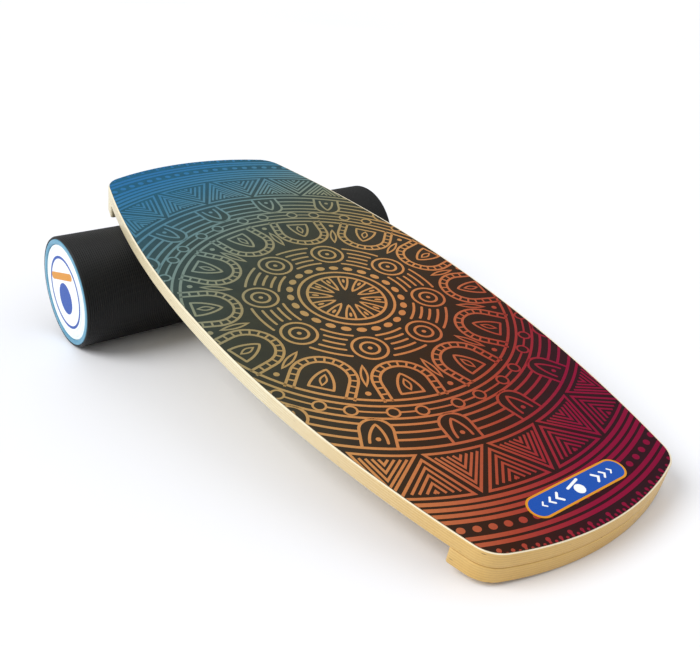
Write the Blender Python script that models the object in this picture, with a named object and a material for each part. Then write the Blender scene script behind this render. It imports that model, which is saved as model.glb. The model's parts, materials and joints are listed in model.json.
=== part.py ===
"""Balance board: a plywood deck with a stop strip under each end, resting on a loose roller.

Metres, +Z up. The floor is z = 0 and the origin is the middle of the object's footprint. +X runs
towards the end of the deck that is down on the floor, and the roller's axis runs along Y.
The deck and everything fixed to it is modelled flat, in the deck's own frame, and hangs on one
empty that tilts it: there the deck's top is z = 0, x runs along the deck and y across it.
"""

import math

import bmesh
import bpy
from mathutils import Matrix, Vector

# ---- deck ----
DECK_LENGTH = 0.770
DECK_WIDTH = 0.3575
DECK_HEIGHT = 0.017  # plywood and printed sheet together
SIDE_RADIUS = 1.270  # the bowed long sides
END_RADIUS = 0.3315  # the bowed ends
CORNER_RADIUS = 0.032
DECK_EDGE_ROUND = 0.0015

# ---- printed sheet and badge on the deck ----
SHEET_INSET = 0.0014
SHEET_THICKNESS = 0.0004
BADGE_CENTRE = (0.342, 0.0015)
BADGE_LENGTH = 0.126
BADGE_WIDTH = 0.026
BADGE_END_STEPS = 12
FILM_THICKNESS = 0.0003

# ---- stops ----
STOP_DEPTH = 0.060  # along the deck, at its middle
STOP_HEIGHT = 0.0175
STOP_EDGE_ROUND = 0.0018

# ---- screws that hold the stops ----
SCREW_COUNT = 5  # for each stop
SCREW_PITCH = 0.050
SCREW_FROM_END = 0.036
SCREW_LENGTH = 0.025
SCREW_RADIUS = 0.0020
SCREW_HEAD_RADIUS = 0.0042
SCREW_HEAD_HEIGHT = 0.0026
SCREW_HEAD_SUNK = 0.0006
SCREW_HEAD_RIM = 0.0004  # the head's straight edge
SCREW_TIP_LENGTH = 0.004
SCREW_TIP_RADIUS = 0.0004
RECESS_LENGTH = 0.0042
RECESS_WIDTH = 0.0011
RECESS_DEPTH = 0.0016

# ---- roller ----
ROLLER_ALONG_DECK = -0.255  # where the roller touches the deck, from the deck's middle
ROLLER_ACROSS_DECK = 0.006  # the roller lies loose, a little to the right
SLEEVE_RADIUS = 0.069
SLEEVE_THICKNESS = 0.0030
SLEEVE_SET_BACK = 0.0004  # at each end of the tube
SLEEVE_EDGE_ROUND = 0.0006
TUBE_LENGTH = 0.465
TUBE_WALL = 0.0060
TUBE_EDGE_ROUND = 0.0008
PLUG_THICKNESS = 0.012
PLUG_SET_BACK = 0.0010
PLUG_EDGE_ROUND = 0.0006
LABEL_RADIUS = 0.048

# ---- fits and smoothness ----
GAP = 0.0003  # between pieces that touch
ROLLER_SIDES = 72
SIDE_STEPS = 28
END_STEPS = 20
CORNER_STEPS = 6
SCREW_SIDES = 16
ROUND_SEGMENTS = 2
ROUNDED_ABOVE = 50  # degrees between two faces
SHARP_ABOVE = 35  # degrees between two faces
HOLE_OVERSHOOT = 0.0012  # how far a cutter starts outside the face it enters

# ---- worked out ----
HALF_LENGTH = DECK_LENGTH / 2
HALF_WIDTH = DECK_WIDTH / 2
PLY_TOP = -(SHEET_THICKNESS + GAP)
STOP_TOP = -DECK_HEIGHT - GAP
STOP_BOTTOM = STOP_TOP - STOP_HEIGHT
STOP_INNER_X = HALF_LENGTH - STOP_DEPTH
TUBE_RADIUS = SLEEVE_RADIUS - SLEEVE_THICKNESS - GAP
BORE_RADIUS = TUBE_RADIUS - TUBE_WALL
PLUG_RADIUS = BORE_RADIUS - GAP


def rest_tilt():
    """The deck's tilt when its near stop is on the floor and its underside touches the roller."""
    along = HALF_LENGTH - STOP_EDGE_ROUND - ROLLER_ALONG_DECK
    below = -DECK_HEIGHT - GAP - SLEEVE_RADIUS - (STOP_BOTTOM + STOP_EDGE_ROUND)
    rise = SLEEVE_RADIUS - STOP_EDGE_ROUND
    return math.atan2(-below, along) + math.asin(rise / math.hypot(along, below))


TILT = rest_tilt()


def deck_origin():
    """The middle of the deck's top, with the near stop on z = 0 and the footprint's middle at the origin."""
    edge_x = HALF_LENGTH - STOP_EDGE_ROUND
    edge_z = STOP_BOTTOM + STOP_EDGE_ROUND
    height = edge_x * math.sin(TILT) - edge_z * math.cos(TILT) + STOP_EDGE_ROUND
    low_end = edge_x * math.cos(TILT) - edge_z * math.sin(TILT) + STOP_EDGE_ROUND
    top_x = HALF_LENGTH - DECK_EDGE_ROUND
    high_end = top_x * math.cos(TILT) - DECK_EDGE_ROUND * math.sin(TILT) + DECK_EDGE_ROUND
    return Vector(((low_end - high_end) / 2, -ROLLER_ACROSS_DECK, height))


DECK_TO_WORLD = Matrix.Translation(deck_origin()) @ Matrix.Rotation(TILT, 4, "Y")
ROLLER_CENTRE = DECK_TO_WORLD @ Vector(
    (ROLLER_ALONG_DECK, ROLLER_ACROSS_DECK, -DECK_HEIGHT - GAP - SLEEVE_RADIUS)
)


# ---- helpers ----


def clear_scene():
    for old in list(bpy.data.objects):
        bpy.data.objects.remove(old, do_unlink=True)


def material(name, colour, roughness, metallic=0.0):
    made = bpy.data.materials.new(name)
    made.use_nodes = True
    shader = made.node_tree.nodes["Principled BSDF"]
    shader.inputs["Base Color"].default_value = (*colour, 1.0)
    shader.inputs["Roughness"].default_value = roughness
    shader.inputs["Metallic"].default_value = metallic
    made.diffuse_color = (*colour, 1.0)
    return made


def add_object(name, mesh, finish=None, parent=None, location=(0, 0, 0), rotation=(0, 0, 0)):
    made = bpy.data.objects.new(name, mesh)
    bpy.context.collection.objects.link(made)
    made.parent = parent
    made.location = location
    made.rotation_euler = rotation
    if finish:
        mesh.materials.clear()
        mesh.materials.append(finish)
    return made


def add_empty(name, location, tilt=0.0, parent=None):
    made = bpy.data.objects.new(name, None)
    bpy.context.collection.objects.link(made)
    made.parent = parent
    made.location = location
    made.rotation_euler = (0, tilt, 0)
    return made


def round_edges(target, width):
    bevel = target.modifiers.new("rounded edges", "BEVEL")
    bevel.width = width
    bevel.segments = ROUND_SEGMENTS
    bevel.limit_method = "ANGLE"
    bevel.angle_limit = math.radians(ROUNDED_ABOVE)


def cut(target, cutters):
    """Takes each cutter out of the target, and hides the cutters."""
    for cutter in cutters:
        cutter.hide_render = True
        cutter.display_type = "WIRE"
        hole = target.modifiers.new("hole", "BOOLEAN")
        hole.operation = "DIFFERENCE"
        hole.solver = "EXACT"
        hole.object = cutter


def shade(mesh):
    mesh.shade_smooth()
    mesh.set_sharp_from_angle(angle=math.radians(SHARP_ABOVE))


# ---- outlines, in the deck's frame ----


def arc(centre, radius, start, end, steps):
    """Points on an arc from one angle to another, the last one left out."""
    turn = (end - start) / steps
    return [
        (
            centre[0] + radius * math.cos(start + turn * step),
            centre[1] + radius * math.sin(start + turn * step),
        )
        for step in range(steps)
    ]


def corner_centre():
    """The centre of the corner arc that touches the side arc and the end arc, at +x and +y."""
    side_y = HALF_WIDTH - SIDE_RADIUS
    end_x = HALF_LENGTH - END_RADIUS
    from_side = SIDE_RADIUS - CORNER_RADIUS
    from_end = END_RADIUS - CORNER_RADIUS
    apart = math.hypot(end_x, side_y)
    along = (from_side**2 - from_end**2 + apart**2) / (2 * apart)
    across = math.sqrt(from_side**2 - along**2)
    unit_x = end_x / apart
    unit_y = -side_y / apart
    return along * unit_x + across * unit_y, side_y + along * unit_y - across * unit_x


def deck_outline(inset=0.0):
    """The deck's edge, anticlockwise from the +x end: four corner arcs between bowed ends and sides."""
    corner_x, corner_y = corner_centre()
    end_x = HALF_LENGTH - END_RADIUS
    side_y = HALF_WIDTH - SIDE_RADIUS
    end_angle = math.atan2(corner_y, corner_x - end_x)
    side_angle = math.atan2(corner_y - side_y, corner_x)
    quarter = math.pi / 2
    points = []
    for turned in (0, 1):
        half = arc((end_x, 0), END_RADIUS - inset, -end_angle, end_angle, END_STEPS)
        half += arc((corner_x, corner_y), CORNER_RADIUS - inset, end_angle, side_angle, CORNER_STEPS)
        half += arc((0, side_y), SIDE_RADIUS - inset, side_angle, 2 * quarter - side_angle, SIDE_STEPS)
        half += arc(
            (-corner_x, corner_y),
            CORNER_RADIUS - inset,
            2 * quarter - side_angle,
            2 * quarter - end_angle,
            CORNER_STEPS,
        )
        sign = 1 - 2 * turned
        points += [(sign * x, sign * y) for x, y in half]
    return points


def stop_outline():
    """The end of the deck's outline beyond the stop's straight inner edge."""
    edge = deck_outline()
    beyond = [point for point in edge if point[0] > STOP_INNER_X + GAP]
    first = next(i for i, p in enumerate(beyond) if p[1] < 0 and beyond[i - 1][1] >= 0)
    beyond = beyond[first:] + beyond[:first]
    side_y = HALF_WIDTH - SIDE_RADIUS + math.sqrt(SIDE_RADIUS**2 - STOP_INNER_X**2)
    return [(STOP_INNER_X, -side_y), *beyond, (STOP_INNER_X, side_y)]


# ---- shapes ----


def slab(name, outline, bottom, top):
    """A flat plate with the given outline."""
    shape = bmesh.new()
    corners = [shape.verts.new((x, y, bottom)) for x, y in outline]
    base = shape.faces.new(corners)
    raised = bmesh.ops.extrude_face_region(shape, geom=[base])
    upper = [v for v in raised["geom"] if isinstance(v, bmesh.types.BMVert)]
    bmesh.ops.translate(shape, verts=upper, vec=(0, 0, top - bottom))
    bmesh.ops.recalc_face_normals(shape, faces=shape.faces)
    mesh = bpy.data.meshes.new(name)
    shape.to_mesh(mesh)
    shape.free()
    shade(mesh)
    return mesh


def turned(name, profile, sides, closed=False):
    """A solid of revolution about Z, from (radius, z) points up its outside or round a closed wall."""
    shape = bmesh.new()
    rings = []
    for radius, z in profile:
        if radius == 0:
            rings.append([shape.verts.new((0, 0, z))])
            continue
        turns = (2 * math.pi * side / sides for side in range(sides))
        ring = [shape.verts.new((radius * math.cos(a), radius * math.sin(a), z)) for a in turns]
        rings.append(ring)
    pairs = list(zip(rings, rings[1:]))
    if closed:
        pairs.append((rings[-1], rings[0]))
    for lower, upper in pairs:
        for side in range(sides):
            after = (side + 1) % sides
            corners = [lower[side % len(lower)], lower[after % len(lower)]]
            corners += [upper[after % len(upper)], upper[side % len(upper)]]
            shape.faces.new(list(dict.fromkeys(corners)))
    bmesh.ops.recalc_face_normals(shape, faces=shape.faces)
    mesh = bpy.data.meshes.new(name)
    shape.to_mesh(mesh)
    shape.free()
    shade(mesh)
    return mesh


def disc_profile(radius, thickness, edge=0.0):
    """A disc from z = 0 to its thickness, its upper rim chamfered if edge is given."""
    rim = [(radius, thickness - edge), (radius - edge, thickness)] if edge else [(radius, thickness)]
    return [(0, 0), (radius, 0), *rim, (0, thickness)]


def tube_profile(outer, inner, length, edge):
    """A tube's wall, centred on z = 0, its four rims chamfered."""
    half = length / 2
    return [
        (outer - edge, -half),
        (outer, -half + edge),
        (outer, half - edge),
        (outer - edge, half),
        (inner + edge, half),
        (inner, half - edge),
        (inner, -half + edge),
        (inner + edge, -half),
    ]


# ---- the deck's pieces ----


def screw_places(end):
    """Where the screws of one stop go: end is 1 at the near stop and -1 at the far one."""
    x = end * (HALF_LENGTH - SCREW_FROM_END)
    middle = (SCREW_COUNT - 1) / 2
    return [(x, (number - middle) * SCREW_PITCH) for number in range(SCREW_COUNT)]


def screw_profile(clearance=0.0):
    """A countersunk wood screw, tip up, its head's flat face at z = 0."""
    shank = SCREW_RADIUS + clearance
    head = SCREW_HEAD_RADIUS + clearance
    length = SCREW_LENGTH + clearance
    start = -HOLE_OVERSHOOT if clearance else 0
    return [
        (0, start),
        (head, start),
        (head, SCREW_HEAD_RIM),
        (shank, SCREW_HEAD_HEIGHT + clearance),
        (shank, length - SCREW_TIP_LENGTH),
        (SCREW_TIP_RADIUS, length),
        (0, length),
    ]


def cross_outline(reach, half_width):
    """A plus sign, as the first quarter's three points turned four times."""
    quarter = [(reach, -half_width), (reach, half_width), (half_width, half_width)]
    points = []
    for _ in range(4):
        points += quarter
        quarter = [(-y, x) for x, y in quarter]
    return points


def screw_mesh():
    """The screw with a cross recess in its head."""
    body = add_object("screw blank", turned("stop screw", screw_profile(), SCREW_SIDES))
    outline = cross_outline(RECESS_LENGTH / 2, RECESS_WIDTH / 2)
    recess = add_object("recess", slab("recess", outline, -RECESS_DEPTH, RECESS_DEPTH))
    cut(body, [recess])
    bpy.context.view_layer.update()
    whole = body.evaluated_get(bpy.context.evaluated_depsgraph_get())
    finished = bpy.data.meshes.new_from_object(whole)
    finished.name = "stop screw with recess"
    for spent in (body, recess):
        bpy.data.objects.remove(spent, do_unlink=True)
    return finished


def screw_cutters(board, end):
    """The clearance holes for one stop's screws, as hidden solids."""
    mesh = turned("screw clearance", screw_profile(GAP), SCREW_SIDES)
    return [
        add_object(f"hole {end} {number}", mesh, None, board, (x, y, STOP_BOTTOM + SCREW_HEAD_SUNK))
        for number, (x, y) in enumerate(screw_places(end))
    ]


def add_deck(board, wood, cutters):
    deck = add_object("deck", slab("deck", deck_outline(), -DECK_HEIGHT, PLY_TOP), wood, board)
    round_edges(deck, DECK_EDGE_ROUND)
    cut(deck, cutters)


def add_stop(board, name, end, wood, cutters):
    outline = [(end * x, end * y) for x, y in stop_outline()]
    stop = add_object(name, slab(name, outline, STOP_BOTTOM, STOP_TOP), wood, board)
    round_edges(stop, STOP_EDGE_ROUND)
    cut(stop, cutters)


def add_screws(board, name, end, mesh, steel):
    for number, (x, y) in enumerate(screw_places(end), start=1):
        place = (x, y, STOP_BOTTOM + SCREW_HEAD_SUNK)
        add_object(f"{name}_screw_{number}", mesh, steel, board, place)


def add_deck_graphic(board, ink):
    mesh = slab("deck_graphic", deck_outline(SHEET_INSET), -SHEET_THICKNESS, 0)
    add_object("deck_graphic", mesh, ink, board)


def add_deck_badge(board, print_finish):
    """A film with half-round ends, across the deck near its low end."""
    straight = (BADGE_LENGTH - BADGE_WIDTH) / 2
    radius = BADGE_WIDTH / 2
    outline = arc((0, straight), radius, 0, math.pi, BADGE_END_STEPS) + [(-radius, straight)]
    outline += arc((0, -straight), radius, math.pi, 2 * math.pi, BADGE_END_STEPS) + [(radius, -straight)]
    mesh = slab("deck_badge", outline, GAP, GAP + FILM_THICKNESS)
    add_object("deck_badge", mesh, print_finish, board, (*BADGE_CENTRE, 0))


# ---- the roller's pieces, made upright and laid along Y ----


def add_roller(axis, rubber, plastic, white, print_finish):
    laid = (math.pi / 2, 0, 0)
    sleeve_length = TUBE_LENGTH - 2 * SLEEVE_SET_BACK
    inner = SLEEVE_RADIUS - SLEEVE_THICKNESS
    profile = tube_profile(SLEEVE_RADIUS, inner, sleeve_length, SLEEVE_EDGE_ROUND)
    add_object("roller_sleeve", turned("sleeve", profile, ROLLER_SIDES, True), rubber, axis, rotation=laid)
    profile = tube_profile(TUBE_RADIUS, BORE_RADIUS, TUBE_LENGTH, TUBE_EDGE_ROUND)
    add_object("roller_tube", turned("tube", profile, ROLLER_SIDES, True), plastic, axis, rotation=laid)
    plug = turned("plug", disc_profile(PLUG_RADIUS, PLUG_THICKNESS, PLUG_EDGE_ROUND), ROLLER_SIDES)
    label = turned("label", disc_profile(LABEL_RADIUS, FILM_THICKNESS), ROLLER_SIDES)
    plug_face = TUBE_LENGTH / 2 - PLUG_SET_BACK
    for side, out in (("left", -1), ("right", 1)):
        facing = (-out * math.pi / 2, 0, 0)
        plug_base = (0, out * (plug_face - PLUG_THICKNESS), 0)
        add_object(f"end_plug_{side}", plug, white, axis, plug_base, facing)
        label_base = (0, out * (plug_face + GAP), 0)
        add_object(f"end_label_{side}", label, print_finish, axis, label_base, facing)


def build():
    clear_scene()
    birch = material("birch plywood", (0.72, 0.52, 0.27), 0.55)
    ink = material("printed sheet", (0.05, 0.06, 0.07), 0.35)
    steel = material("zinc steel", (0.55, 0.55, 0.53), 0.35, 1.0)
    rubber = material("black rubber", (0.012, 0.013, 0.012), 0.6)
    blue_plastic = material("light blue plastic", (0.24, 0.48, 0.61), 0.35)
    white_plastic = material("white plastic", (0.86, 0.90, 0.90), 0.4)
    badge_print = material("badge print", (0.01, 0.08, 0.45), 0.35)
    label_print = material("label print", (0.80, 0.84, 0.86), 0.35)

    board = add_empty("board frame", DECK_TO_WORLD.to_translation(), TILT)
    screw = screw_mesh()
    holes = {end: screw_cutters(board, end) for end in (1, -1)}
    add_deck(board, birch, holes[1] + holes[-1])
    for name, end in (("near_stop", 1), ("far_stop", -1)):
        add_stop(board, name, end, birch, holes[end])
        add_screws(board, name, end, screw, steel)
    add_deck_graphic(board, ink)
    add_deck_badge(board, badge_print)

    axis = add_empty("roller axis", ROLLER_CENTRE)
    add_roller(axis, rubber, blue_plastic, white_plastic, label_print)


build()
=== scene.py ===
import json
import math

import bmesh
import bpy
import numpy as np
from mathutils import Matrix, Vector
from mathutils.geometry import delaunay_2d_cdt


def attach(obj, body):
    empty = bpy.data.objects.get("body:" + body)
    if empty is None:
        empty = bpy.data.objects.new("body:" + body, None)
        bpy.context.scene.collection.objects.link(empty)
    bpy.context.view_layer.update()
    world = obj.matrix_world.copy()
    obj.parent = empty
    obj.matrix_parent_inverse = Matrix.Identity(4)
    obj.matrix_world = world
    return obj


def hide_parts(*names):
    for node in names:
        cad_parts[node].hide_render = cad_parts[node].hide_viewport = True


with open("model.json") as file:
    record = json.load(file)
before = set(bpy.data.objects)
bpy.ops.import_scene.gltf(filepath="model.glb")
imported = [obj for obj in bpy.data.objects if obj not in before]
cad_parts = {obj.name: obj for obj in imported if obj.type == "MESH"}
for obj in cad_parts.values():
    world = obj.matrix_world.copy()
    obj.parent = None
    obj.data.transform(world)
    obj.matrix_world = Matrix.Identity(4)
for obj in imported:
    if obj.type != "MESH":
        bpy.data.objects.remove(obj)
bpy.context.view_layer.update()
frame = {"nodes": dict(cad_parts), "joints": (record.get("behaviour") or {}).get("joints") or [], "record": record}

# The looks of a balance board: a birch plywood deck with a printed sheet and two stops, on a loose
# roller of light blue pipe in a ribbed rubber sleeve. Sizes and places are read from the packed
# model; the constants below add the detail that the model leaves out.
# Each piece is built in one of two local frames, in metres:
#   deck    origin in the middle of the deck's top, x towards its low end, y across, z up through it
#   roller  origin in the middle of the roller, z along its axis towards +Y
# The ornament on the deck is drawn flat, in millimetres from the deck's middle.

MM = 0.001

# ---- the deck's outline and edges, as in the model ----
SIDE_RADIUS = 1.270
END_RADIUS = 0.3315
CORNER_RADIUS = 0.032
EDGE_ROUND = 0.0015
STOP_ROUND = 0.0018
STOP_FILLET = 0.0030  # at the two ends of a stop's straight edge
SIDE_STEPS = 56
END_STEPS = 40
CORNER_STEPS = 16
ROUND_STEPS = 5
SAME_POINT = 0.000004  # where one arc ends and the next begins
SUPPORT = 0.0010  # a flat ring inside each rounded rim, which keeps the broad faces' shading flat

# ---- plywood ----
PLY_MM = 1.36

# ---- screws, as in the model ----
SCREW_CLEARANCE = 0.0003
SCREW_SHANK = 0.0020
SCREW_HEAD = 0.0042
SCREW_HEAD_RIM = 0.0004
SCREW_HEAD_HEIGHT = 0.0026
SCREW_HOLE_START = -0.0012
SCREW_LENGTH = 0.025
HOLE_SIDES = 32

# ---- printed sheet ----
SHEET_INSET = 0.0014  # from the deck's edge
SHEET_SHORT = 0.0022  # how much narrower the sheet is along the +y side, where more bare wood shows
SHEET_ROUND = 0.00005
INK_MARGIN = 0.0015  # from the deck's edge
INK_HEIGHT = 0.08  # mm, between the ground's surface and the ink's
INK_SUNK = 0.01  # mm, how far the ink reaches into the ground
DRAWING_STEP = 1e-4  # mm, points of the drawing closer than this are one point
LINE = 3.0  # mm, the ornament's usual line
FINE_LINE = 2.3
LOOP_LINE = 2.8
LANCET_CROWDING = 1.6  # crowds a pointed arch's points towards its tip
LANCET_FULLNESS = 0.72  # the lower, the rounder a pointed arch's shoulders

# ---- badge: heights above the deck's top, then sizes ----
BADGE_FIELD_BOTTOM = 0.0001
BADGE_BASE_TOP = 0.00030
BADGE_FIELD_TOP = 0.00042
BADGE_BORDER = 0.0022
BADGE_SIGN_HEIGHT = 16.5  # mm
BADGE_CHEVRONS = ((24, 4.6), (34, 3.7), (44, 2.8))  # mm from the badge's middle, and size
FILM_ROUND = 0.0001
FILM_SUPPORT = 0.0003

# ---- roller ----
RIB_PITCH = 0.0026
RIB_DEPTH = 0.00070
RIB_SAMPLES = 4
RIB_FULLNESS = 0.6  # the lower, the broader a rib's crest
SLEEVE_SIDES = 96
SLEEVE_WALL = 0.0030
SLEEVE_ROUND = 0.0006
RING_SIDES = 128
TUBE_ROUND = 0.0009
PLUG_ROUND = 0.0009
GROOVE_INSET = 0.0030  # a shallow groove round each plug's face
GROOVE_WIDTH = 0.0014
GROOVE_DEPTH = 0.0004

# ---- round labels ----
LABEL_ROUND = 0.00008
LABEL_INK_PROUD = 0.0001
LABEL_INK_DEPTH = 0.00022
LABEL_RING_INSET = 4.2  # mm
LABEL_RING_LINE = 3.4  # mm
LABEL_SIGN_HEIGHT = 58.0  # mm

# ---- camera, floor and light ----
CAMERA_PLACE = (0.7030, -0.5634, 0.4768)
CAMERA_TARGET = (0.0498, -0.0374, 0.0989)
CAMERA_ROLL = 2.44  # degrees
CAMERA_LENS = 44.06
FLOOR_SIZE = 40.0
FLOOR_DROP = 0.0002  # keeps the floor just under the pieces that rest on it
KEY_LIGHT = ((-0.35, -1.0, 1.0), 40, 2.1)  # where it comes from, its spread in degrees, its strength
FILL_LIGHT = ((0.5, 0.9, 0.9), 60, 0.5)
SKY_COLOUR = (0.98, 0.99, 1.0, 1.0)
SKY_STRENGTH = 0.64


# ---- places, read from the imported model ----

mounts = {mount["name"]: mount for mount in frame["record"]["mounts"]}
joints = {joint["name"]: joint for joint in frame["joints"]}


def deck_frame():
    """The matrix from the deck's frame to the row's."""
    up = Vector(mounts["deck_top"]["axis"]).normalized()
    across = up.cross(-Vector(joints["deck_travel"]["axis"])).normalized()
    turn = Matrix((across.cross(up), across, up)).transposed().to_4x4()
    return Matrix.Translation(mounts["deck_top"]["pos_m"]) @ turn


def roller_frame():
    """The matrix from the roller's frame to the row's."""
    centre = Matrix.Translation(joints["deck_rock"]["pos_m"])
    return centre @ Matrix.Rotation(-math.pi / 2, 4, "X")


DECK = deck_frame()
ROLLER = roller_frame()


def corners_of(node, place):
    """A CAD node's corners, in the frame of a place."""
    inverse = place.inverted()
    return np.array([inverse @ vertex.co for vertex in frame["nodes"][node].data.vertices])


def extent(node, place):
    """Lowest and highest corner of a CAD node's box, in the frame of a place."""
    points = corners_of(node, place)
    return Vector(points.min(0)), Vector(points.max(0))


def reach(node, place):
    """Smallest and largest distance of a CAD node's corners from the z axis of a place."""
    points = corners_of(node, place)
    distances = np.hypot(points[:, 0], points[:, 1])
    return float(distances.min()), float(distances.max())


DECK_LOW, DECK_HIGH = extent("deck", DECK)
HALF_LENGTH = DECK_HIGH.x
HALF_WIDTH = DECK_HIGH.y


# ---- outlines: lists of arcs, anticlockwise, each (centre, radius, first angle, last angle, steps) ----


def corner_centre():
    """The centre of the corner arc that touches the side arc and the end arc, at +x and +y."""
    side_y = HALF_WIDTH - SIDE_RADIUS
    end_x = HALF_LENGTH - END_RADIUS
    from_side = SIDE_RADIUS - CORNER_RADIUS
    from_end = END_RADIUS - CORNER_RADIUS
    apart = math.hypot(end_x, side_y)
    along = (from_side**2 - from_end**2 + apart**2) / (2 * apart)
    across = math.sqrt(from_side**2 - along**2)
    unit = Vector((end_x, -side_y)) / apart
    return Vector((along * unit.x + across * unit.y, side_y + along * unit.y - across * unit.x))


CORNER_CENTRE = corner_centre()
SIDE_CENTRE = Vector((0, HALF_WIDTH - SIDE_RADIUS))
END_CENTRE = Vector((HALF_LENGTH - END_RADIUS, 0))
END_ANGLE = math.atan2(CORNER_CENTRE.y, CORNER_CENTRE.x - END_CENTRE.x)
SIDE_ANGLE = math.atan2(CORNER_CENTRE.y - SIDE_CENTRE.y, CORNER_CENTRE.x)


def half_turned(arcs):
    return [(-centre, radius, a + math.pi, b + math.pi, n) for centre, radius, a, b, n in arcs]


def deck_arcs():
    mirrored = Vector((-CORNER_CENTRE.x, CORNER_CENTRE.y))
    half = [
        (END_CENTRE, END_RADIUS, -END_ANGLE, END_ANGLE, END_STEPS),
        (CORNER_CENTRE, CORNER_RADIUS, END_ANGLE, SIDE_ANGLE, CORNER_STEPS),
        (SIDE_CENTRE, SIDE_RADIUS, SIDE_ANGLE, math.pi - SIDE_ANGLE, SIDE_STEPS),
        (mirrored, CORNER_RADIUS, math.pi - SIDE_ANGLE, math.pi - END_ANGLE, CORNER_STEPS),
    ]
    return half + half_turned(half)


def stop_arcs(inner_x):
    """The end of the deck's outline beyond a straight edge at inner_x, its two corners filleted."""
    x = inner_x + STOP_FILLET
    y = SIDE_CENTRE.y + math.sqrt((SIDE_RADIUS - STOP_FILLET) ** 2 - x**2)
    meets = math.atan2(y - SIDE_CENTRE.y, x)
    below = Vector((1, -1))
    steps = CORNER_STEPS // 2
    return [
        (Vector((x, -y)), STOP_FILLET, -math.pi, -meets, steps),
        (SIDE_CENTRE * below, SIDE_RADIUS, -meets, -SIDE_ANGLE, steps),
        (CORNER_CENTRE * below, CORNER_RADIUS, -SIDE_ANGLE, -END_ANGLE, CORNER_STEPS),
        (END_CENTRE, END_RADIUS, -END_ANGLE, END_ANGLE, END_STEPS),
        (CORNER_CENTRE, CORNER_RADIUS, END_ANGLE, SIDE_ANGLE, CORNER_STEPS),
        (SIDE_CENTRE, SIDE_RADIUS, SIDE_ANGLE, meets, steps),
        (Vector((x, y)), STOP_FILLET, meets, math.pi, steps),
    ]


def pill_arcs(length, width, steps=24):
    """Half-round ends at +y and -y."""
    centre = Vector((0, (length - width) / 2))
    end = [(centre, width / 2, 0, math.pi, steps)]
    return end + half_turned(end)


def circle_arcs(radius, steps=RING_SIDES):
    return [(Vector((0, 0)), radius, 0, 2 * math.pi, steps)]


def outline(arcs, inset=0.0):
    """The points of a list of arcs, moved inwards by the inset."""
    points = []
    for centre, radius, first, last, steps in arcs:
        closed = math.isclose(last - first, 2 * math.pi)
        for step in range(steps if closed else steps + 1):
            angle = first + (last - first) * step / steps
            spoke = Vector((math.cos(angle), math.sin(angle)))
            points.append(centre + spoke * (radius - inset))
    return [p for i, p in enumerate(points) if (p - points[i - 1]).length > SAME_POINT]


# ---- solids ----


def plate(arcs, bottom, top, rounding, inset=0.0, support=SUPPORT):
    """A flat plate with that outline, its upper and lower rims rounded."""
    quarter = [math.pi / 2 * step / ROUND_STEPS for step in range(ROUND_STEPS + 1)]
    rims = [(rounding * (1 - math.sin(a)), rounding * (1 - math.cos(a))) for a in quarter]
    levels = [(support + rounding, bottom)]
    levels += [(inward, bottom + up) for inward, up in rims]
    levels += [(inward, top - down) for inward, down in reversed(rims)]
    levels += [(support + rounding, top)]
    shape = bmesh.new()
    rings = []
    for inward, z in levels:
        rings.append([shape.verts.new((*point, z)) for point in outline(arcs, inset + inward)])
    for lower, upper in zip(rings, rings[1:]):
        for i, corner_below in enumerate(lower):
            shape.faces.new((lower[i - 1], corner_below, upper[i], upper[i - 1]))
    shape.faces.new(list(reversed(rings[0])))
    shape.faces.new(rings[-1])
    return shape


def turned(profile, sides, closed=False):
    """A solid of revolution about z, from (radius, z) points up its outside or round a closed wall."""
    shape = bmesh.new()
    turns = [2 * math.pi * side / sides for side in range(sides)]
    rings = []
    for radius, z in profile:
        if radius == 0:
            rings.append([shape.verts.new((0, 0, z))])
            continue
        rings.append([shape.verts.new((radius * math.cos(a), radius * math.sin(a), z)) for a in turns])
    pairs = list(zip(rings, rings[1:]))
    if closed:
        pairs.append((rings[-1], rings[0]))
    for lower, upper in pairs:
        for side in range(sides):
            after = (side + 1) % sides
            corners = [lower[side % len(lower)], lower[after % len(lower)]]
            corners += [upper[after % len(upper)], upper[side % len(upper)]]
            shape.faces.new(list(dict.fromkeys(corners)))
    bmesh.ops.recalc_face_normals(shape, faces=shape.faces)
    return shape


def rounded_corner(radius, z, size, out, up, steps=4):
    """Points round a corner of a turned profile, from its side towards its end face."""
    points = []
    for step in range(steps + 1):
        angle = math.pi / 2 * step / steps
        inward = size * (1 - math.cos(angle))
        down = size * (1 - math.sin(angle))
        points.append((radius - out * inward, z - up * down))
    return points


def mesh_of(name, shape):
    mesh = bpy.data.meshes.new(name)
    shape.to_mesh(mesh)
    shape.free()
    return mesh


def bored(mesh, places):
    """The mesh with a countersunk screw hole at each place, entered from below."""
    wide = SCREW_HEAD + SCREW_CLEARANCE
    narrow = SCREW_SHANK + SCREW_CLEARANCE
    depth = SCREW_LENGTH + SCREW_CLEARANCE
    profile = [(0, SCREW_HOLE_START), (wide, SCREW_HOLE_START), (wide, SCREW_HEAD_RIM)]
    profile += [(narrow, SCREW_HEAD_HEIGHT + SCREW_CLEARANCE), (narrow, depth), (0, depth)]
    cutter_mesh = mesh_of("screw hole", turned(profile, HOLE_SIDES))
    blank = bpy.data.objects.new("blank", mesh)
    bpy.context.scene.collection.objects.link(blank)
    cutters = []
    for place in places:
        cutter = bpy.data.objects.new("cutter", cutter_mesh)
        bpy.context.scene.collection.objects.link(cutter)
        cutter.location = place
        cutters.append(cutter)
        hole = blank.modifiers.new("hole", "BOOLEAN")
        hole.operation = "DIFFERENCE"
        hole.solver = "EXACT"
        hole.object = cutter
    bpy.context.view_layer.update()
    whole = blank.evaluated_get(bpy.context.evaluated_depsgraph_get())
    finished = bpy.data.meshes.new_from_object(whole)
    for spent in (blank, *cutters):
        bpy.data.objects.remove(spent)
    return finished


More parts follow.
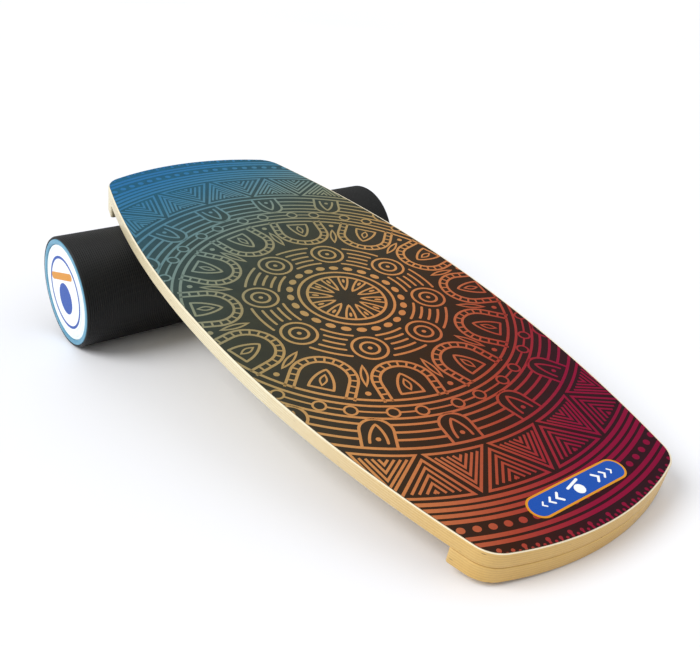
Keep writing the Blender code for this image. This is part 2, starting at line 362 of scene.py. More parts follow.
def piece(name, mesh, place, body, finish, stands_for=(), sharp=35):
    """Moves a mesh from a local frame to its place, and makes it a piece that rides on a body.
    Where each corner was in the local frame, in mm, stays with the mesh for the materials."""
    mesh.name = name
    points = np.empty(len(mesh.vertices) * 3, np.float32)
    mesh.vertices.foreach_get("co", points)
    local = mesh.attributes.new("local_mm", "FLOAT_VECTOR", "POINT")
    local.data.foreach_set("vector", points / MM)
    mesh.transform(place)
    mesh.shade_smooth()
    mesh.set_sharp_from_angle(angle=math.radians(sharp))
    mesh.materials.clear()
    mesh.materials.append(finish)
    made = bpy.data.objects.new(name, mesh)
    bpy.context.scene.collection.objects.link(made)
    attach(made, body)
    if stands_for:
        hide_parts(*stands_for)


# ---- flat drawing, in mm: a drawing is a list of convex polygons, each a list of points ----


def polar(radius, degrees):
    angle = math.radians(degrees)
    return Vector((radius * math.cos(angle), radius * math.sin(angle)))


def dot(centre, radius, sides=14):
    return [[Vector(centre) + polar(radius, 360 * side / sides) for side in range(sides)]]


def oval(centre, half_x, half_y, sides=20):
    turns = [2 * math.pi * side / sides for side in range(sides)]
    middle = Vector(centre)
    return [[middle + Vector((half_x * math.cos(a), half_y * math.sin(a))) for a in turns]]


def stroke(path, width=LINE, closed=False, round_ends=True):
    """A line of that width along a path, a quad for each step, mitred where they meet."""
    path = [Vector(point) for point in path]
    last = len(path) - 1
    sides = []
    for i, point in enumerate(path):
        arriving = point - path[i - 1] if closed or i > 0 else path[i + 1] - point
        leaving = path[(i + 1) % len(path)] - point if closed or i < last else arriving
        one = Vector((-arriving.y, arriving.x)).normalized()
        two = Vector((-leaving.y, leaving.x)).normalized()
        middle = (one + two).normalized()
        offset = middle * (width / 2 / max(0.5, middle.dot(one)))
        sides.append((point + offset, point - offset))
    pairs = list(zip(sides, sides[1:]))
    if closed:
        pairs.append((sides[-1], sides[0]))
    quads = [[a[0], a[1], b[1], b[0]] for a, b in pairs]
    if round_ends and not closed:
        quads += dot(path[0], width / 2, 10)
        quads += dot(path[last], width / 2, 10)
    return quads


def ring(centre, radius, width=LINE, steps=40):
    path = [Vector(centre) + polar(radius, 360 * step / steps) for step in range(steps)]
    return stroke(path, width, closed=True)


def arc_path(radius, first, last, step_mm=5.0):
    """Points on an arc round the deck's middle, between two angles in degrees."""
    steps = max(2, math.ceil(math.radians(abs(last - first)) * radius / step_mm))
    return [polar(radius, first + (last - first) * step / steps) for step in range(steps + 1)]


def full_ring(radius, width=LINE, step_mm=5.0):
    return stroke(arc_path(radius, 0, 360, step_mm)[:-1], width, closed=True)


def horseshoe(closed_at, open_at, half, steps=20):
    """A half circle whose back is at x = closed_at, with straight arms to x = open_at."""
    centre = closed_at + half
    bow = [Vector((centre, 0)) + polar(half, 90 + 180 * step / steps) for step in range(steps + 1)]
    return [Vector((open_at, half)), *bow, Vector((open_at, -half))]


def lancet(tip, open_at, half, steps=8):
    """A pointed arch with its tip at x = tip and its feet at x = open_at."""
    rising = []
    for step in range(steps + 1):
        share = (step / steps) ** LANCET_CROWDING
        y = half * math.sin(share * math.pi / 2) ** LANCET_FULLNESS
        rising.append(Vector((tip + (open_at - tip) * share, y)))
    return rising[::-1] + [Vector((p.x, -p.y)) for p in rising[1:]]


def lens(first, last, half, steps=8):
    """The closed path of a leaf, pointed at both ends, along x."""
    upper = []
    for step in range(steps + 1):
        share = step / steps
        upper.append(Vector((first + (last - first) * share, half * math.sin(math.pi * share))))
    return upper + [Vector((p.x, -p.y)) for p in reversed(upper[1:-1])]


def chevron(y, size, side):
    """A small arrowhead pointing to +y or -y."""
    return stroke([(-size, y), (0, y + side * size), (size, y)], size * 0.55)


def spoked(polygons, degrees):
    """A motif drawn along +x, turned to that angle."""
    turn = Matrix.Rotation(math.radians(degrees), 2)
    return [[turn @ point for point in polygon] for polygon in polygons]


def around(polygons, count, first=0.0):
    """A motif drawn along +x, repeated all the way round."""
    drawn = []
    for number in range(count):
        drawn += spoked(polygons, first + 360 / count * number)
    return drawn


def wound(polygon):
    """A convex polygon's corners in anticlockwise order."""
    middle = sum(polygon, Vector((0, 0))) / len(polygon)
    return sorted(polygon, key=lambda p: math.atan2(p.y - middle.y, p.x - middle.x))


def flat_box(points):
    """Lowest and highest corner of flat points."""
    xs = [p.x for p in points]
    ys = [p.y for p in points]
    return Vector((min(xs), min(ys))), Vector((max(xs), max(ys)))


def printed(polygons, clip, bottom, top):
    """One flat solid from overlapping polygons: their union, inside a clip outline. All in mm."""
    clip_low, clip_high = flat_box(clip)
    corners = list(clip)
    faces = [list(range(len(clip)))]
    for polygon in polygons:
        low, high = flat_box(polygon)
        if high.x < clip_low.x or low.x > clip_high.x or high.y < clip_low.y or low.y > clip_high.y:
            continue
        faces.append(list(range(len(corners), len(corners) + len(polygon))))
        corners += wound(polygon)
    flat, _, cells, _, _, sources = delaunay_2d_cdt(corners, [], faces, 1, DRAWING_STEP, True)
    inked = [cell for cell, source in zip(cells, sources) if 0 in source and len(source) > 1]
    used = sorted({index for cell in inked for index in cell})
    shape = bmesh.new()
    lower = {i: shape.verts.new((flat[i].x * MM, flat[i].y * MM, bottom * MM)) for i in used}
    upper = {i: shape.verts.new((flat[i].x * MM, flat[i].y * MM, top * MM)) for i in used}
    edges = {(cell[k - 1], cell[k]) for cell in inked for k in range(len(cell))}
    for cell in inked:
        shape.faces.new([upper[i] for i in cell])
        shape.faces.new([lower[i] for i in reversed(cell)])
    for a, b in edges:
        if (b, a) not in edges:
            shape.faces.new((lower[a], lower[b], upper[b], upper[a]))
    bmesh.ops.recalc_face_normals(shape, faces=shape.faces)
    return shape


def flat_piece(name, polygons, bottom, top, place, body, finish):
    """A drawing as a flat piece between two heights in metres."""
    low, high = flat_box([point for polygon in polygons for point in polygon])
    margin = Vector((1, 1))
    low, high = low - margin, high + margin
    clip = [low, Vector((high.x, low.y)), high, Vector((low.x, high.y))]
    mesh = mesh_of(name, printed(polygons, clip, bottom / MM, top / MM))
    piece(name, mesh, place, body, finish, sharp=20)


# ---- the ornament, from the middle outwards: radii, half widths and lines in mm ----


def rosette():
    """Twelve pointed petals with a seed in each, two rings and a circle of beads."""
    rim, outer_ring, bead_circle = 45, 55, 65
    petal = stroke(lancet(17, rim, 5.4), 2.5, round_ends=False)
    seed = oval((36, 0), 4.2, 1.7, 12)
    bead = oval((bead_circle, 0), 4.0, 5.8)
    drawn = around(petal + seed, 12) + full_ring(rim, 3.2, 3) + full_ring(outer_ring, 3.2, 3)
    return drawn + around(bead, 24, 7.5)


def medallions():
    """Eight ringed medals, and five short arcs between each two."""
    centre = (98.6, 0)
    medal = ring(centre, 19.4) + ring(centre, 10.2, steps=28) + dot(centre, 2.6)
    waves = []
    for radius, half in ((77, 17), (86, 12), (95.3, 11), (104.6, 14), (114.5, 22)):
        spread = math.degrees(half / radius)
        waves += stroke(arc_path(radius, -spread, spread, 4))
    return around(medal, 8, 22.5) + around(waves, 8)


def arches():
    """Twelve horseshoe arches with bars between their two lines, a pointed loop in each, leaves between."""
    outer_half, inner_half, back, mouth = 34.0, 25.5, 124.0, 185.0
    centre = back + outer_half
    arch = stroke(horseshoe(back, mouth, outer_half), round_ends=False)
    arch += stroke(horseshoe(centre - inner_half, mouth, inner_half), round_ends=False)
    for degrees in range(99, 262, 18):
        bar = [Vector((centre, 0)) + polar(half, degrees) for half in (inner_half, outer_half)]
        arch += stroke(bar, FINE_LINE, round_ends=False)
    for x in (centre + 5, centre + 15):
        for side in (1, -1):
            bar = [(x, side * inner_half), (x, side * outer_half)]
            arch += stroke(bar, FINE_LINE, round_ends=False)
    loop_foot, loop_half = 176, 12.5
    arch += stroke(lancet(145, loop_foot, loop_half), LOOP_LINE)
    arch += stroke([(loop_foot, loop_half), (loop_foot, -loop_half)], LOOP_LINE)
    arch += stroke(lens(154, 171, 3.4), 2.0, closed=True)
    leaf = stroke(lens(130, 163, 3.4), FINE_LINE, closed=True) + dot((175, 0), 3.2)
    return around(arch, 12, 15) + around(leaf, 12)


def bead_band():
    """Eighteen pairs of ringed beads on a line, between plain rings."""
    count, radius = 18, 203.0
    pair_spread = 4.2  # degrees from the middle of a pair to each bead
    clear = math.degrees(7.4 / radius)  # degrees from a bead's middle to where the line starts
    bead = ring((radius, 0), 6.4, FINE_LINE, 22)
    inner = arc_path(radius, clear - pair_spread, pair_spread - clear)
    outer = arc_path(radius, pair_spread + clear, 360 / count - pair_spread - clear)
    pair = spoked(bead, pair_spread) + spoked(bead, -pair_spread)
    for path in (inner, outer):
        pair += stroke(path, FINE_LINE, round_ends=False)
    drawn = around(pair, count)
    for ring_radius, width in ((185, 3.2), (194, 3.0), (212, 3.0)):
        drawn += full_ring(ring_radius, width)
    return drawn


def arcade():
    """Stripes broken by eighteen arches that open outwards."""
    count, half, back, mouth = 18, 16.5, 213.0, 253.0
    centre = back + half
    pitch = 360 / count
    motif = stroke(horseshoe(back, mouth, half, 14), round_ends=False)
    motif += stroke(lancet(221, 246, 8.6), LOOP_LINE) + dot((241, 0), 2.6)
    for radius in (221, 231.5, 242):
        reach_y = math.sqrt(half**2 - max(0.0, centre - radius) ** 2)
        spread = math.degrees(math.asin(reach_y / radius))
        motif += stroke(arc_path(radius, spread, pitch - spread), round_ends=False)
    return around(motif, count, pitch / 2) + full_ring(253.5, 3.2)


def wedge(apex, base, half_angle, count):
    """A triangle between two radii, its base along an arc, with chevrons nested inside it."""
    outwards = math.copysign(1, base - apex)
    drawn = stroke([polar(apex, 0), *arc_path(base, -half_angle, half_angle, 8)], LINE, closed=True)
    foot = base - outwards * 5.2
    for number in range(1, count + 1):
        tip = apex + outwards * 9.6 * number
        slope = half_angle * (foot - tip) / (base - apex)
        drawn += stroke([polar(foot, -slope), polar(tip, 0), polar(foot, slope)], 2.6, round_ends=False)
    return drawn


def triangles():
    """Triangles that point inwards and outwards by turns."""
    outward = wedge(269, 315.5, 6.1, 4)
    inward = wedge(313, 262.5, 6.6, 4)
    return around(outward, 24, 7.5) + around(inward, 24)


def borders():
    """Plain rings, a circle of oval dots, and along the deck's ends a fringe of pins in four sizes."""
    drawn = []
    for radius in (322.5, 329.5, 336.5, 343.5, 362.5, 369.5):
        drawn += full_ring(radius, 4.3, 6)
    drawn += around(oval((352.8, 0), 3.5, 4.1, 14), 150)
    heads = ((377.5, 2.4), (381.5, 1.5), (379.5, 1.9), (381.5, 1.5))  # radius and size
    for number, (radius, size) in enumerate(heads):
        pin = dot((radius, 0), size, 10)
        pin += stroke([(radius, 0), (390, 0)], size * 1.1, round_ends=False)
        drawn += around(pin, 100, 0.9 * number)
    return drawn


ORNAMENT = {
    "rosette": rosette,
    "medallions": medallions,
    "arches": arches,
    "bead_band": bead_band,
    "arcade": arcade,
    "triangles": triangles,
    "borders": borders,
}


def sign(height):
    """A small tilted board on a roller, in mm: the roller's polygons and the board's, up towards -x."""
    roller_radius = height * 0.34
    centre = Vector((height * 0.14, 0))
    along = Vector((-0.26, 1)).normalized()
    lift = Vector((-1, -0.26)).normalized() * (roller_radius + 0.14 * height)
    board = [centre + lift + along * end for end in (-height * 0.52, height * 0.52)]
    return dot(centre, roller_radius, 40), stroke(board, height * 0.16)


# ---- materials: their nodes measure in mm, in the local frame of each piece ----


def paint(red, green, blue):
    """A colour as it is seen, 0 to 255, as the linear light that a shader takes."""
    shares = [level / 255 for level in (red, green, blue)]
    linear = [s / 12.92 if s <= 0.04045 else ((s + 0.055) / 1.055) ** 2.4 for s in shares]
    return (*linear, 1.0)


class Finish:
    """A Principled material, with short calls for the nodes that its recipe needs."""

    def __init__(self, name, roughness, **sockets):
        self.material = bpy.data.materials.new(name)
        self.material.use_nodes = True
        self.tree = self.material.node_tree
        self.shader = self.tree.nodes["Principled BSDF"]
        self.shader.inputs["Roughness"].default_value = roughness
        for socket, value in sockets.items():
            self.shader.inputs[socket.replace("_", " ")].default_value = value

    def feed(self, made, inputs):
        """Links or sets a node's inputs, each named by its place or its name."""
        for socket, value in inputs.items():
            if isinstance(value, bpy.types.NodeSocket):
                self.tree.links.new(value, made.inputs[socket])
            else:
                made.inputs[socket].default_value = value

    def node(self, kind, inputs=None, **settings):
        made = self.tree.nodes.new(kind)
        for name, value in settings.items():
            setattr(made, name, value)
        self.feed(made, inputs or {})
        return made

    def local(self):
        return self.node("ShaderNodeAttribute", attribute_name="local_mm").outputs["Vector"]

    def row(self):
        """Places in the row's frame, in metres, for the model's own nodes and the floor."""
        return self.node("ShaderNodeTexCoord").outputs["Object"]

    def scaled(self, vector, scale):
        return self.node("ShaderNodeVectorMath", {0: vector, 1: scale}, operation="MULTIPLY").outputs[0]

    def split(self, vector):
        return self.node("ShaderNodeSeparateXYZ", {0: vector}).outputs

    def math(self, operation, one, two=0.0):
        return self.node("ShaderNodeMath", {0: one, 1: two}, operation=operation).outputs[0]

    def noise(self, vector, scale, detail=2.0, roughness=0.5):
        inputs = {"Vector": vector, "Scale": scale, "Detail": detail, "Roughness": roughness}
        return self.node("ShaderNodeTexNoise", inputs).outputs["Fac"]

    def spread(self, value, low, high, to_low=0.0, to_high=1.0):
        """A value's stretch from low to high, moved to another stretch and held at its ends."""
        inputs = {0: value, 1: low, 2: high, 3: to_low, 4: to_high}
        return self.node("ShaderNodeMapRange", inputs).outputs[0]

    def blend(self, share, one, two, mode="MIX"):
        made = self.node("ShaderNodeMix", data_type="RGBA", blend_type=mode)
        self.feed(made, {0: share, 6: one, 7: two})
        return made.outputs[2]

    def ramp(self, value, stops):
        made = self.node("ShaderNodeValToRGB", {0: value})
        points = made.color_ramp.elements
        points[0].position, points[0].color = stops[0]
        points[1].position, points[1].color = stops[-1]
        for place, colour in stops[1:-1]:
            points.new(place).color = colour
        return made.outputs["Color"]

    def link(self, value, socket):
        self.tree.links.new(value, self.shader.inputs[socket])

    def colour(self, value):
        self.link(value, "Base Color")

    def rough(self, value):
        self.link(value, "Roughness")

    def bump(self, height, distance_mm, strength=1.0):
        inputs = {"Height": height, "Distance": distance_mm * MM, "Strength": strength}
        self.link(self.node("ShaderNodeBump", inputs).outputs[0], "Normal")


def birch():
    """Birch plywood as a solid: plies stacked down z, their grain along x and y by turns."""
    made = Finish("birch plywood", 0.42, Coat_Weight=0.12, Coat_Roughness=0.3)
    place = made.local()

    # The plies, slightly wavy, and the glue between them
    waver = made.noise(made.scaled(place, (0.02, 0.02, 0.02)), 1.0, 1.0)
    level = made.math("ADD", made.split(place)[2], made.math("MULTIPLY", waver, 0.25))
    layer = made.math("DIVIDE", level, PLY_MM)
    crosswise = made.math("FLOORED_MODULO", made.math("FLOOR", layer), 2.0)
    within = made.math("FRACT", layer)
    from_middle = made.math("ABSOLUTE", made.math("SUBTRACT", within, 0.5))
    glue = made.spread(from_middle, 0.43, 0.49)

    # Grain, paler in the long plies than in the cross ones
    long_grain = made.noise(made.scaled(place, (0.018, 0.55, 0.9)), 1.0, 4.0, 0.6)
    cross_grain = made.noise(made.scaled(place, (0.55, 0.018, 0.9)), 1.0, 4.0, 0.6)
    pale_stops = [(0.30, paint(218, 207, 174)), (0.52, paint(227, 220, 192)), (0.75, paint(231, 227, 204))]
    tan_stops = [(0.30, paint(208, 192, 152)), (0.55, paint(218, 205, 169)), (0.78, paint(225, 215, 183))]
    wood = made.blend(crosswise, made.ramp(long_grain, pale_stops), made.ramp(cross_grain, tan_stops))

    # Painted warm shade: the wood more golden and darker towards the low end, which sits in shade; with broad
    # clouds
    warm_shade = made.spread(made.split(place)[0], 90, 350, 0.0, 0.9)
    wood = made.blend(warm_shade, wood, paint(234, 190, 90), "MULTIPLY")
    cloud = made.spread(made.noise(made.scaled(place, (0.006, 0.02, 0.02)), 1.0, 2.0), 0.3, 0.7)
    wood = made.blend(made.math("MULTIPLY", cloud, 0.22), wood, paint(218, 190, 134))

    # Glue lines, small gaps in the cross plies, and brown flecks
    wood = made.blend(made.math("MULTIPLY", glue, 0.20), wood, paint(150, 110, 64))
    gap = made.noise(made.scaled(place, (0.09, 0.09, 0.62)), 1.0, 1.0)
    void = made.math("MULTIPLY", made.spread(gap, 0.745, 0.775), crosswise)
    wood = made.blend(made.math("MULTIPLY", void, 0.8), wood, paint(74, 48, 28))
    fleck = made.spread(made.noise(made.scaled(place, (0.16, 1.6, 1.6)), 1.0, 2.0, 0.6), 0.66, 0.74)
    wood = made.blend(made.math("MULTIPLY", fleck, 0.25), wood, paint(176, 128, 78))

    # The pale face veneer round the printed sheet
    veneer = made.spread(made.split(place)[2], -1.5, -1.1, 0.0, 0.85)
    made.colour(made.blend(veneer, wood, paint(246, 234, 206)))
    made.rough(made.spread(long_grain, 0.3, 0.7, 0.36, 0.52))
    relief = made.math("SUBTRACT", made.math("MULTIPLY", long_grain, 0.3), glue)
    made.bump(relief, 0.06)
    return made.material


# The ink's colours along the deck, as (mm, colour). The lines of equal colour fan out: they lie
# nearly square across the far end and run slanting at the near one.
INK_COLOURS = (
    (-420, paint(40, 104, 160)),
    (-360, paint(45, 112, 159)),
    (-300, paint(66, 120, 146)),
    (-240, paint(99, 130, 133)),
    (-180, paint(127, 133, 111)),
    (-120, paint(146, 133, 95)),
    (-60, paint(167, 138, 88)),
    (0, paint(189, 139, 84)),
    (60, paint(194, 131, 76)),
    (120, paint(186, 112, 66)),
    (180, paint(174, 90, 58)),
    (240, paint(160, 66, 46)),
    (300, paint(147, 40, 46)),
    (360, paint(134, 16, 50)),
    (480, paint(126, 6, 50)),
)

# The ground's colours along the same lines. The blue at the far end is partly the ground's tint and partly a
# painted reflection, where that end is seen at a grazing angle.
GROUND_AND_REFLECTION_COLOURS = (
    (-420, paint(30, 97, 134)),
    (-330, paint(38, 90, 112)),
    (-240, paint(56, 74, 72)),
    (-120, paint(57, 60, 49)),
    (0, paint(57, 50, 38)),
    (120, paint(55, 37, 22)),
    (240, paint(52, 27, 16)),
    (360, paint(49, 18, 24)),
    (480, paint(46, 14, 24)),
)


def print_colour(made, colours):
    """The colour at each point of the print, from stops along its length."""
    low, high = colours[0][0], colours[-1][0]
    x, y, _ = made.split(made.local())
    fan = made.spread(x, -300, 200, 0.35, 1.2)
    along = made.math("ADD", x, made.math("MULTIPLY", y, fan))
    stops = [((mm - low) / (high - low), colour) for mm, colour in colours]
    return made.ramp(made.spread(along, low, high), stops)


def ink():
    """Screen-printed ink with a faint mottle."""
    made = Finish("printed ink", 0.5, Specular_IOR_Level=0.03)
    colour = print_colour(made, INK_COLOURS)
    mottle = made.spread(made.noise(made.local(), 0.25, 3.0, 0.6), 0.35, 0.75, 0.0, 0.14)
    made.colour(made.blend(mottle, colour, paint(40, 44, 48)))
    made.rough(made.spread(made.noise(made.local(), 1.1, 2.0), 0.3, 0.7, 0.36, 0.50))
    return made.material


def print_ground():
    """The printed sheet's dark ground, tinted by the colours over it and, at the far end, by a painted reflection,
    under a fine-grained varnish.
    """
    made = Finish("printed ground", 0.5, Specular_IOR_Level=0.03)
    colour = print_colour(made, GROUND_AND_REFLECTION_COLOURS)
    mottle = made.spread(made.noise(made.local(), 0.06, 3.0), 0.3, 0.7, 0.0, 0.25)
    made.colour(made.blend(mottle, colour, paint(30, 36, 40)))
    made.rough(made.spread(made.noise(made.local(), 1.1, 2.0), 0.3, 0.7, 0.40, 0.54))
    made.bump(made.noise(made.local(), 1.8, 1.0), 0.02, 0.5)
    return made.material


def rubber():
    """Black rubber with a fine grain, faint lengthwise flutes and a little dust."""
    made = Finish("ribbed rubber", 0.5, Specular_IOR_Level=0.3)
    x, y, _ = made.split(made.local())
    flutes = made.math("SINE", made.math("MULTIPLY", made.math("ARCTAN2", y, x), 62.0))
    grain = made.noise(made.local(), 0.9, 3.0, 0.6)
    dust = made.spread(made.noise(made.local(), 0.045, 3.0, 0.6), 0.42, 0.75)
    tone = made.blend(made.spread(grain, 0.35, 0.75), paint(1, 2, 2), paint(6, 7, 7))
    made.colour(made.blend(made.math("MULTIPLY", dust, 0.10), tone, paint(24, 26, 25)))
    made.rough(made.spread(grain, 0.3, 0.7, 0.44, 0.62))
    height = made.math("ADD", made.math("MULTIPLY", flutes, 0.35), made.math("MULTIPLY", grain, 0.8))
    made.bump(height, 0.10, 0.6)
    return made.material


def moulded(name, light, dark, roughness):
    """Moulded plastic with faint clouds, fine scuffs and a slight orange peel."""
    made = Finish(name, roughness)
    cloud = made.noise(made.local(), 0.05, 3.0, 0.6)
    scuff = made.spread(made.noise(made.scaled(made.local(), (0.9, 0.12, 0.9)), 1.0, 3.0, 0.7), 0.62, 0.72)
    base = made.blend(made.spread(cloud, 0.35, 0.7), light, dark)
    made.colour(made.blend(made.math("MULTIPLY", scuff, 0.10), base, dark))
    made.rough(made.spread(cloud, 0.3, 0.7, roughness - 0.06, roughness + 0.08))
    made.bump(made.noise(made.local(), 0.5, 2.0), 0.03, 0.6)
    return made.material


def film(name, colour):
    """Printed film: an even colour with the faint mottle of screen printing."""
    roughness = 0.34
    made = Finish(name, roughness, Specular_IOR_Level=0.2)
    mottle = made.spread(made.noise(made.local(), 0.35, 3.0, 0.6), 0.35, 0.75, 0.0, 0.12)
    darker = (*(level * 0.72 for level in colour[:3]), 1.0)
    made.colour(made.blend(mottle, colour, darker))
    gloss = made.noise(made.local(), 0.8, 2.0)
    made.rough(made.spread(gloss, 0.3, 0.7, roughness - 0.05, roughness + 0.08))
    return made.material


def zinc():
    """Zinc plating on the model's own screws."""
    made = Finish("zinc plated steel", 0.34, Metallic=1.0)
    place = made.row()
    cloud = made.noise(place, 260.0, 3.0, 0.6)
    made.colour(made.blend(made.spread(cloud, 0.35, 0.7), paint(196, 196, 192), paint(150, 152, 152)))
    made.rough(made.spread(cloud, 0.3, 0.7, 0.26, 0.44))
    made.bump(made.noise(place, 900.0, 2.0), 0.02, 0.5)
    return made.material


def floor_finish():
    made = Finish("floor", 0.7)
    cloud = made.spread(made.noise(made.row(), 0.6, 2.0), 0.3, 0.7)
    made.colour(made.blend(cloud, paint(243, 244, 248), paint(239, 240, 244)))
    return made.material


WOOD = birch()
INK = ink()
GROUND = print_ground()
RUBBER = rubber()
PIPE = moulded("light blue pipe", paint(92, 156, 184), paint(72, 138, 168), 0.36)
WHITE = moulded("white plastic", paint(240, 246, 247), paint(226, 235, 238), 0.40)
LABEL_WHITE = film("label white", paint(240, 245, 247))
PRINT_BLUE = film("print blue", paint(4, 72, 164))
PRINT_AMBER = film("print amber", paint(212, 140, 24))
PRINT_WHITE = film("print white", paint(238, 240, 240))
ZINC = zinc()


# ---- the deck, its stops and its screws ----

SCREWS = sorted(name for name in frame["nodes"] if "_screw_" in name)


def finish_screws():
    for name in SCREWS:
        node = frame["nodes"][name]
        node.data.materials.clear()
        node.data.materials.append(ZINC)


def screw_places(names):
    """Where each screw's head starts, in the deck's frame."""
    places = []
    for name in names:
        low, high = extent(name, DECK)
        places.append(((low.x + high.x) / 2, (low.y + high.y) / 2, low.z))
    return places


def add_deck():
    blank = plate(deck_arcs(), DECK_LOW.z, DECK_HIGH.z, EDGE_ROUND)
    mesh = bored(mesh_of("deck_board", blank), screw_places(SCREWS))
    piece("deck_board", mesh, DECK, "board", WOOD, ["deck"])


def add_stop(end, turn_by):
    """The strip under the near end (+x), or half a turn round under the far one."""
    low, high = extent(f"{end}_stop", DECK)
    blank = plate(stop_arcs(min(abs(low.x), abs(high.x))), low.z, high.z, STOP_ROUND)
    bmesh.ops.rotate(blank, verts=blank.verts, matrix=Matrix.Rotation(turn_by, 3, "Z"))
    own = [name for name in SCREWS if name.startswith(end)]
    name = f"{end}_stop_strip"
    mesh = bored(mesh_of(name, blank), screw_places(own))
    piece(name, mesh, DECK, "board", WOOD, [f"{end}_stop"])


# ---- the printed sheet and the badge ----


def sheet_width(y):
    """The factor that a point's y takes, because the sheet is cut narrow along its +y side."""
    return 1 - SHEET_SHORT / HALF_WIDTH if y > 0 else 1


def add_sheet():
    """The sheet's dark ground, and each band of the ornament as a layer of ink on it."""
    low, high = extent("deck_graphic", DECK)
    ground = plate(deck_arcs(), low.z, high.z - INK_HEIGHT * MM, SHEET_ROUND, SHEET_INSET)
    for vertex in ground.verts:
        vertex.co.y *= sheet_width(vertex.co.y)
    mesh = mesh_of("print_ground", ground)
    piece("print_ground", mesh, DECK, "board", GROUND, ["deck_graphic"])
    clip = [Vector((p.x, p.y * sheet_width(p.y))) / MM for p in outline(deck_arcs(), INK_MARGIN)]
    for name, draw in ORNAMENT.items():
        mesh = mesh_of(name, printed(draw(), clip, -INK_HEIGHT - INK_SUNK, 0.0))
        piece(f"print_{name}", mesh, DECK, "board", INK, sharp=20)


def add_badge():
    """A pill-shaped badge: amber base, blue field, white sign with chevrons at both sides."""
    low, high = extent("deck_badge", DECK)
    middle = (low + high) / 2
    place = DECK @ Matrix.Translation((middle.x, middle.y, 0))
    arcs = pill_arcs(high.y - low.y, high.x - low.x)
    sheet_top = extent("deck_graphic", DECK)[1].z - INK_HEIGHT * MM
    base = plate(arcs, sheet_top, BADGE_BASE_TOP, FILM_ROUND, 0.0, FILM_SUPPORT)
    base = mesh_of("badge_border", base)
    piece("badge_border", base, place, "board", PRINT_AMBER, ["deck_badge"])
    field = plate(arcs, BADGE_FIELD_BOTTOM, BADGE_FIELD_TOP, FILM_ROUND, BADGE_BORDER, FILM_SUPPORT)
    field = mesh_of("badge_field", field)
    piece("badge_field", field, place, "board", PRINT_BLUE)
    roller_sign, board_sign = sign(BADGE_SIGN_HEIGHT)
    drawing = roller_sign + board_sign
    for side in (1, -1):
        for y, size in BADGE_CHEVRONS:
            drawing += chevron(side * y, size, side)
    flat_piece(
        "badge_emblem", drawing, BADGE_BASE_TOP, high.z, place, "board", PRINT_WHITE
    )


# ---- the roller ----


def ribbed_profile(half, radius):
    """The sleeve's closed wall: rounded ribs along its outside, and a plain bore."""
    bore = radius - SLEEVE_WALL
    run = 2 * half - 4 * SLEEVE_ROUND
    samples = round(run / RIB_PITCH) * RIB_SAMPLES
    points = [(radius - SLEEVE_ROUND - RIB_DEPTH, -half)]
    for sample in range(samples + 1):
        z = -run / 2 + run * sample / samples
        crest = 0.5 - 0.5 * math.cos(2 * math.pi * sample / RIB_SAMPLES)
        points.append((radius - RIB_DEPTH * (1 - crest**RIB_FULLNESS), z))
    points.append((radius - SLEEVE_ROUND - RIB_DEPTH, half))
    points += [(bore + SLEEVE_ROUND / 2, half), (bore, half - SLEEVE_ROUND / 2)]
    points += [(bore, -half + SLEEVE_ROUND / 2), (bore + SLEEVE_ROUND / 2, -half)]
    return points


def add_sleeve():
    half = extent("roller_sleeve", ROLLER)[1].z
    _, radius = reach("roller_sleeve", ROLLER)
    mesh = mesh_of("rubber_sleeve", turned(ribbed_profile(half, radius), SLEEVE_SIDES, True))
    piece("rubber_sleeve", mesh, ROLLER, "roller", RUBBER, ["roller_sleeve"], 60)


def add_pipe():
    """The pipe's closed wall, its four corners rounded."""
    half = extent("roller_tube", ROLLER)[1].z
    bore, radius = reach("roller_tube", ROLLER)
    wall = rounded_corner(radius, half, TUBE_ROUND, 1, 1)
    wall += reversed(rounded_corner(bore, half, TUBE_ROUND, -1, 1))
    wall += rounded_corner(bore, -half, TUBE_ROUND, -1, -1)
    wall += reversed(rounded_corner(radius, -half, TUBE_ROUND, 1, -1))
    mesh = mesh_of("blue_pipe", turned(wall, RING_SIDES, True))
    piece("blue_pipe", mesh, ROLLER, "roller_core", PIPE, ["roller_tube"])


def plug_profile(radius, bottom, top):
    """The plug's outside from its back to its face, with a shallow groove round the face."""
    outer = radius - GROOVE_INSET
    inner = outer - GROOVE_WIDTH
    floor = top - GROOVE_DEPTH
    groove = [(outer, top), (outer - GROOVE_DEPTH, floor), (inner + GROOVE_DEPTH, floor), (inner, top)]
    rim = rounded_corner(radius, top, PLUG_ROUND, 1, 1)
    return [(0, bottom), (radius, bottom), *rim, *groove, (0, top)]


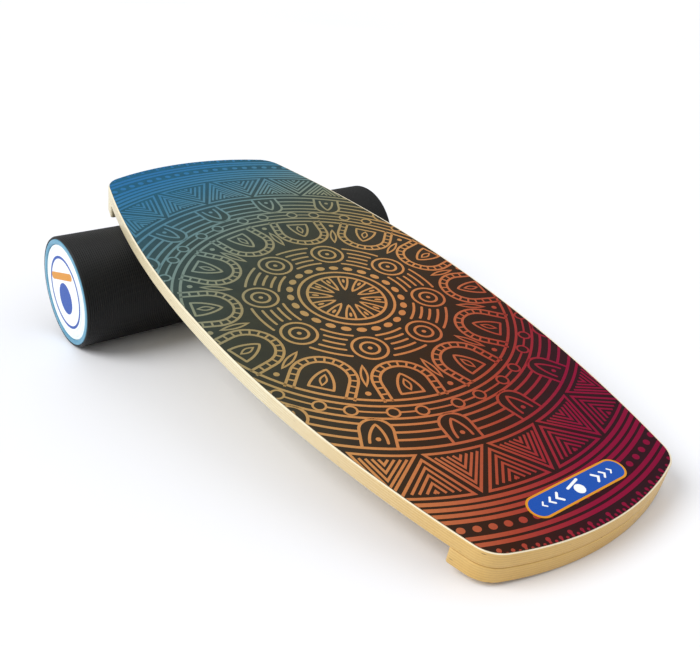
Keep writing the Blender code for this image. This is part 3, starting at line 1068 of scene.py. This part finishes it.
def add_roller_end(side, out):
    """The plug and the label of one end, built with z out of the roller."""
    facing = ROLLER @ Matrix.Rotation(0 if out > 0 else math.pi, 4, "X")
    low, high = extent(f"end_plug_{side}", facing)
    _, radius = reach(f"end_plug_{side}", facing)
    name = f"white_plug_{side}"
    mesh = mesh_of(name, turned(plug_profile(radius, low.z, high.z), RING_SIDES))
    piece(name, mesh, facing, "roller_ends", WHITE, [f"end_plug_{side}"])

    top = extent(f"end_label_{side}", facing)[1].z
    _, radius = reach(f"end_label_{side}", facing)
    backing = plate(
        circle_arcs(radius), high.z, top - LABEL_INK_PROUD, LABEL_ROUND, support=FILM_SUPPORT
    )
    name = f"label_backing_{side}"
    mesh = mesh_of(name, backing)
    piece(name, mesh, facing, "roller_ends", LABEL_WHITE, [f"end_label_{side}"])

    roller_sign, board_sign = sign(LABEL_SIGN_HEIGHT)
    upright = facing @ Matrix.Rotation(out * math.pi / 2, 4, "Z")
    border = ring((0, 0), radius / MM - LABEL_RING_INSET, LABEL_RING_LINE, 96)
    for colour, drawing, finish in (
        ("blue", border + roller_sign, PRINT_BLUE),
        ("amber", board_sign, PRINT_AMBER),
    ):
        name = f"label_{colour}_{side}"
        bottom = top - LABEL_INK_DEPTH
        flat_piece(name, drawing, bottom, top, upright, "roller_ends", finish)


# ---- floor, light and camera ----


def add_floor():
    shape = bmesh.new()
    bmesh.ops.create_grid(shape, x_segments=4, y_segments=4, size=FLOOR_SIZE / 2)
    floor = bpy.data.objects.new("floor", mesh_of("floor", shape))
    floor.location.z = -FLOOR_DROP
    floor.data.materials.append(floor_finish())
    bpy.context.scene.collection.objects.link(floor)


def add_sun(name, towards, spread, power):
    """A broad even light from that direction, its shadows blurred by its spread in degrees."""
    light = bpy.data.lights.new(name, "SUN")
    light.angle = math.radians(spread)
    light.energy = power
    lamp = bpy.data.objects.new(name, light)
    lamp.rotation_euler = (-Vector(towards)).to_track_quat("-Z", "Y").to_euler()
    bpy.context.scene.collection.objects.link(lamp)


def add_sky():
    world = bpy.data.worlds.new("studio")
    bpy.context.scene.world = world
    world.use_nodes = True
    background = world.node_tree.nodes["Background"]
    background.inputs["Color"].default_value = SKY_COLOUR
    background.inputs["Strength"].default_value = SKY_STRENGTH


def add_camera():
    camera = bpy.data.objects.new("camera", bpy.data.cameras.new("camera"))
    camera.data.lens = CAMERA_LENS
    camera.data.sensor_width = 36.0
    camera.data.clip_start = 0.01
    camera.data.clip_end = 200.0
    view = (Vector(CAMERA_TARGET) - Vector(CAMERA_PLACE)).to_track_quat("-Z", "Y").to_matrix()
    roll = Matrix.Rotation(math.radians(CAMERA_ROLL), 3, "Z")
    camera.matrix_world = Matrix.Translation(CAMERA_PLACE) @ (view @ roll).to_4x4()
    bpy.context.scene.collection.objects.link(camera)
    bpy.context.scene.camera = camera


finish_screws()
add_deck()
add_stop("near", 0)
add_stop("far", math.pi)
add_sheet()
add_badge()
add_sleeve()
add_pipe()
add_roller_end("left", -1)
add_roller_end("right", 1)

add_floor()
add_sun("key", *KEY_LIGHT)
add_sun("fill", *FILL_LIGHT)
add_sky()
add_camera()
bpy.context.scene.view_settings.view_transform = "Standard"
